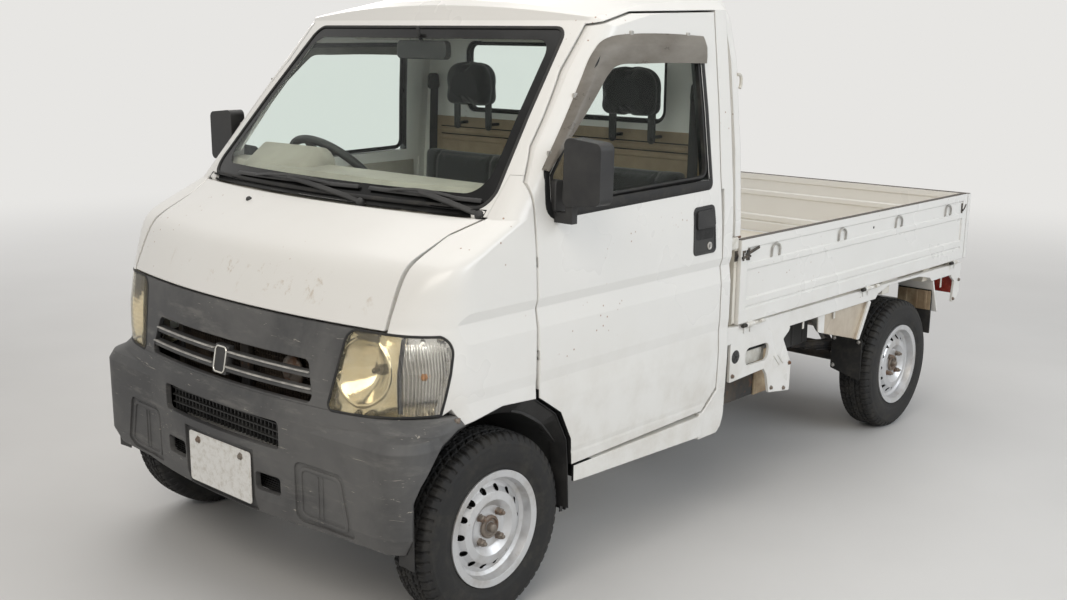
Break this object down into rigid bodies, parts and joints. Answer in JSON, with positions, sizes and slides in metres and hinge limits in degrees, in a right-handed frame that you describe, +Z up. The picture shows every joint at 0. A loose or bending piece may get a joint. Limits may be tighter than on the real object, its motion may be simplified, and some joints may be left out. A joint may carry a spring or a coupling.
{
  "type": "cab-over pickup truck",
  "caption": "Small cab-over pickup truck with drop-side bed, opening doors and front lid, steered front wheels and a guard frame behind the cab.",
  "frame": {"origin": "on the ground at the middle of the truck's length and width", "axes": "+X to the truck's left, +Y to its rear, +Z up; the front faces -Y"},
  "size_m": [1.7876, 3.3938, 1.7799],
  "materials": {
    "body_white": "aged gloss white paint with scuffs and rust spots",
    "bed_paint": "worn cream-white paint",
    "frame_black": "dull black chassis paint",
    "bumper_grey": "unpainted scuffed grey plastic",
    "black_plastic": "black moulded plastic",
    "dash_plastic": "grained grey-beige plastic",
    "lamp_lens": "yellowed lens",
    "tail_lens": "red lamp lens",
    "clear_glass": "clear glass",
    "seat_cloth": "black woven cloth",
    "plate_white": "blank pressed plate",
    "black_rubber": "moulded rubber",
    "tyre": "treaded tyre rubber",
    "wheel_silver": "silver painted steel",
    "engine_metal": "cast, dusty",
    "exhaust_steel": "dull heat-stained steel"
  },
  "bodies": {
    "chassis": {"ladder_frame": "frame_black", "cab_floor": "body_white", "cab_shell": "body_white", "fenders": "body_white", "front_bumper": "bumper_grey", "front_grille": "bumper_grey", "headlamps": "lamp_lens", "windscreen": "clear_glass", "rear_window": "clear_glass", "wipers": "black_plastic", "dashboard": "dash_plastic", "steering_column": "dash_plastic", "seats": "seat_cloth", "number_plate": "plate_white", "wheel_liners": "black_plastic", "bed_deck": "bed_paint", "front_board": "bed_paint", "guard_frame": "body_white", "side_rails": "body_white", "mud_flaps": "black_rubber", "tail_lamps": "tail_lens", "engine_block": "engine_metal", "fuel_tank": "frame_black", "muffler": "exhaust_steel", "rear_axle": "frame_black", "front_suspension": "frame_black"},
    "hood": {"hood": "body_white"},
    "door_left": {"door_left": "body_white", "door_glass_left": "clear_glass", "door_mirror_left": "black_plastic"},
    "door_right": {"door_right": "body_white", "door_glass_right": "clear_glass", "door_mirror_right": "black_plastic"},
    "gate_left": {"side_gate_left": "body_white"},
    "gate_right": {"side_gate_right": "body_white"},
    "tailgate": {"tailgate": "body_white"},
    "steering": {"steering_wheel": "black_plastic"},
    "knuckle_left": {"knuckle_left": "engine_metal"},
    "knuckle_right": {"knuckle_right": "engine_metal"},
    "wheel_front_left": {"tyre_front_left": "tyre", "rim_front_left": "wheel_silver"},
    "wheel_front_right": {"tyre_front_right": "tyre", "rim_front_right": "wheel_silver"},
    "wheel_rear_left": {"tyre_rear_left": "tyre", "rim_rear_left": "wheel_silver"},
    "wheel_rear_right": {"tyre_rear_right": "tyre", "rim_rear_right": "wheel_silver"}
  },
  "joints": [
    {"name": "hood_hinge", "type": "hinge", "parent": "chassis", "child": "hood", "pos_m": [0, -1.2585, 1.125], "axis": [-1, 0, 0], "range_deg": [0, 50]},
    {"name": "door_left_hinge", "type": "hinge", "parent": "chassis", "child": "door_left", "pos_m": [0.7295, -1.142, 0.972], "axis": [0, 0.0395, -0.9992], "range_deg": [0, 65]},
    {"name": "door_right_hinge", "type": "hinge", "parent": "chassis", "child": "door_right", "pos_m": [-0.7295, -1.142, 0.972], "axis": [0, -0.0395, 0.9992], "range_deg": [0, 65]},
    {"name": "gate_left_hinge", "type": "hinge", "parent": "chassis", "child": "gate_left", "pos_m": [0.7365, 0.773, 0.649], "axis": [0, 1, 0], "range_deg": [0, 180]},
    {"name": "gate_right_hinge", "type": "hinge", "parent": "chassis", "child": "gate_right", "pos_m": [-0.7365, 0.773, 0.649], "axis": [0, -1, 0], "range_deg": [0, 180]},
    {"name": "tailgate_hinge", "type": "hinge", "parent": "chassis", "child": "tailgate", "pos_m": [0, 1.6895, 0.649], "axis": [-1, 0, 0], "range_deg": [0, 180]},
    {"name": "steering_turn", "type": "hinge", "parent": "chassis", "child": "steering", "pos_m": [-0.345, -0.954, 1.12], "axis": [0, 0.7431, 0.6691], "range_deg": [-576, 576]},
    {"name": "steer_left", "type": "hinge", "parent": "chassis", "child": "knuckle_left", "pos_m": [0.585, -1.284, 0.2], "axis": [-0.1908, 0, 0.9816], "range_deg": [-36, 36]},
    {"name": "steer_right", "type": "hinge", "parent": "chassis", "child": "knuckle_right", "pos_m": [-0.585, -1.284, 0.2], "axis": [0.1908, 0, 0.9816], "range_deg": [-36, 36]},
    {"name": "wheel_front_left_spin", "type": "hinge", "parent": "knuckle_left", "child": "wheel_front_left", "pos_m": [0.645, -1.284, 0.27], "axis": [1, 0, 0], "continuous": true},
    {"name": "wheel_front_right_spin", "type": "hinge", "parent": "knuckle_right", "child": "wheel_front_right", "pos_m": [-0.645, -1.284, 0.27], "axis": [1, 0, 0], "continuous": true},
    {"name": "wheel_rear_left_spin", "type": "hinge", "parent": "chassis", "child": "wheel_rear_left", "pos_m": [0.645, 1.136, 0.27], "axis": [1, 0, 0], "continuous": true},
    {"name": "wheel_rear_right_spin", "type": "hinge", "parent": "chassis", "child": "wheel_rear_right", "pos_m": [-0.645, 1.136, 0.27], "axis": [1, 0, 0], "continuous": true}
  ],
  "couplings": [
    {"joint": "steer_left", "follows": "steering_turn", "ratio": 0.0625},
    {"joint": "steer_right", "follows": "steering_turn", "ratio": 0.0625}
  ]
}
